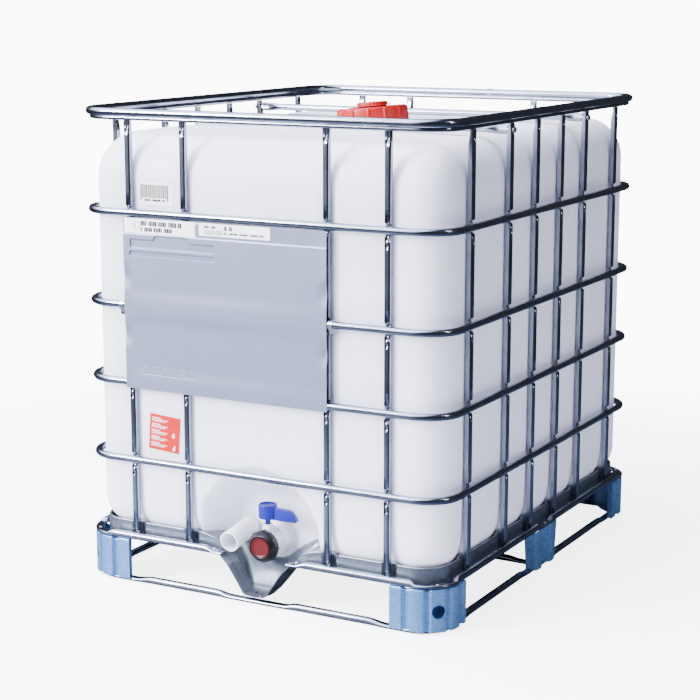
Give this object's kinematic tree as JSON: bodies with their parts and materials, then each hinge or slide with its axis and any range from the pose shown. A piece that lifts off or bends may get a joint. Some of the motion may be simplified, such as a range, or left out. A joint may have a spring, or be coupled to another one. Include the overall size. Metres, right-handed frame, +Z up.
{
  "type": "intermediate bulk container",
  "caption": "Composite intermediate bulk container: translucent plastic bottle in a tubular steel cage on a steel pallet, with a lever outlet valve and a screw filler lid.",
  "frame": {"origin": "on the floor, under the centre of the pallet", "axes": "+Z up, the valve side faces -Y, +X to the right seen from the valve side"},
  "size_m": [1, 1.2, 1.16],
  "materials": {
    "galvanised_tube": "satin",
    "zinc_bolt": "satin",
    "pressed_foot": "satin",
    "pressed_tray": "satin",
    "plate_sheet": "matte",
    "natural_plastic": "satin",
    "white_plastic": "satin",
    "blue_plastic": "satin",
    "black_plastic": "satin",
    "dark_red_plastic": "satin",
    "red_plastic": "satin",
    "seal_rubber": "matte"
  },
  "bodies": {
    "root": {"bottle": "natural_plastic", "bottle_neck": "natural_plastic", "bottle_outlet_socket": "natural_plastic", "cage_top_ring": "galvanised_tube", "cage_ring_upper": "galvanised_tube", "cage_ring_middle_upper": "galvanised_tube", "cage_ring_middle_lower": "galvanised_tube", "cage_ring_lower": "galvanised_tube", "cage_base_ring": "galvanised_tube", "upright_right_1": "galvanised_tube", "upright_right_2": "galvanised_tube", "upright_right_3": "galvanised_tube", "upright_right_4": "galvanised_tube", "upright_right_5": "galvanised_tube", "upright_right_6": "galvanised_tube", "upright_back_1": "galvanised_tube", "upright_back_2": "galvanised_tube", "upright_back_3": "galvanised_tube", "upright_back_4": "galvanised_tube", "upright_left_1": "galvanised_tube", "upright_left_2": "galvanised_tube", "upright_left_3": "galvanised_tube", "upright_left_4": "galvanised_tube", "upright_left_5": "galvanised_tube", "upright_left_6": "galvanised_tube", "upright_front_1": "galvanised_tube", "upright_front_2": "galvanised_tube", "upright_front_3": "galvanised_tube", "upright_front_4": "galvanised_tube", "crossbar_front": "galvanised_tube", "crossbar_back": "galvanised_tube", "crossbar_bolt_front_right": "zinc_bolt", "crossbar_bolt_front_left": "zinc_bolt", "crossbar_bolt_back_right": "zinc_bolt", "crossbar_bolt_back_left": "zinc_bolt", "pallet_tray": "pressed_tray", "foot_front_right": "pressed_foot", "foot_front_left": "pressed_foot", "foot_back_right": "pressed_foot", "foot_back_left": "pressed_foot", "foot_middle_right": "pressed_foot", "foot_middle_left": "pressed_foot", "foot_middle_back": "pressed_foot", "floor_ring": "galvanised_tube", "cross_runner": "galvanised_tube", "id_plate": "plate_sheet", "plate_clip_left": "plate_sheet", "plate_clip_right": "plate_sheet", "valve_body": "white_plastic", "valve_union_nut": "white_plastic"},
    "valve_lever": {"valve_handle": "blue_plastic", "valve_stem": "blue_plastic", "valve_disc": "white_plastic"},
    "cap_seal": {"outlet_cap_disc": "dark_red_plastic"},
    "cap_ring": {"outlet_cap_ring": "black_plastic"},
    "loose_spout": {"spout": "natural_plastic"},
    "lid_seal": {"filler_gasket": "seal_rubber"},
    "lid": {"filler_lid": "red_plastic"},
    "bung_seal": {"bung_gasket": "seal_rubber"},
    "bung": {"vent_bung": "red_plastic"}
  },
  "joints": [
    {"name": "valve_turn", "type": "hinge", "parent": "root", "child": "valve_lever", "pos_m": [0, -0.532, 0.133], "axis": [0, 0, 1], "range_deg": [-90, 0]},
    {"name": "outlet_cap_travel", "type": "slide", "parent": "root", "child": "cap_seal", "axis": [0, -1, 0], "range_m": [0, 0.021]},
    {"name": "outlet_cap_turn", "type": "hinge", "parent": "cap_seal", "child": "cap_ring", "pos_m": [0, -0.558, 0.133], "axis": [0, -1, 0], "range_deg": [0, 1260]},
    {"name": "lid_travel", "type": "slide", "parent": "root", "child": "lid_seal", "axis": [-0.0958, 0, 0.9954], "range_m": [0, 0.028]},
    {"name": "lid_turn", "type": "hinge", "parent": "lid_seal", "child": "lid", "pos_m": [0, 0, 1.101], "axis": [-0.0958, 0, 0.9954], "range_deg": [0, 1440]},
    {"name": "bung_travel", "type": "slide", "parent": "lid", "child": "bung_seal", "axis": [-0.0958, 0, 0.9954], "range_m": [0, 0.012]},
    {"name": "bung_turn", "type": "hinge", "parent": "bung_seal", "child": "bung", "pos_m": [0, 0, 1.101], "axis": [-0.0958, 0, 0.9954], "range_deg": [0, 1080]},
    {"name": "spout_out", "type": "slide", "parent": "root", "child": "loose_spout", "axis": [0, -0.9882, -0.153], "range_m": [0, 0.09]}
  ],
  "couplings": [
    {"joint": "outlet_cap_travel", "follows": "outlet_cap_turn", "m_per_rad": 0.00095493},
    {"joint": "lid_travel", "follows": "lid_turn", "m_per_rad": 0.0011141},
    {"joint": "bung_travel", "follows": "bung_turn", "m_per_rad": 0.00063662}
  ]
}
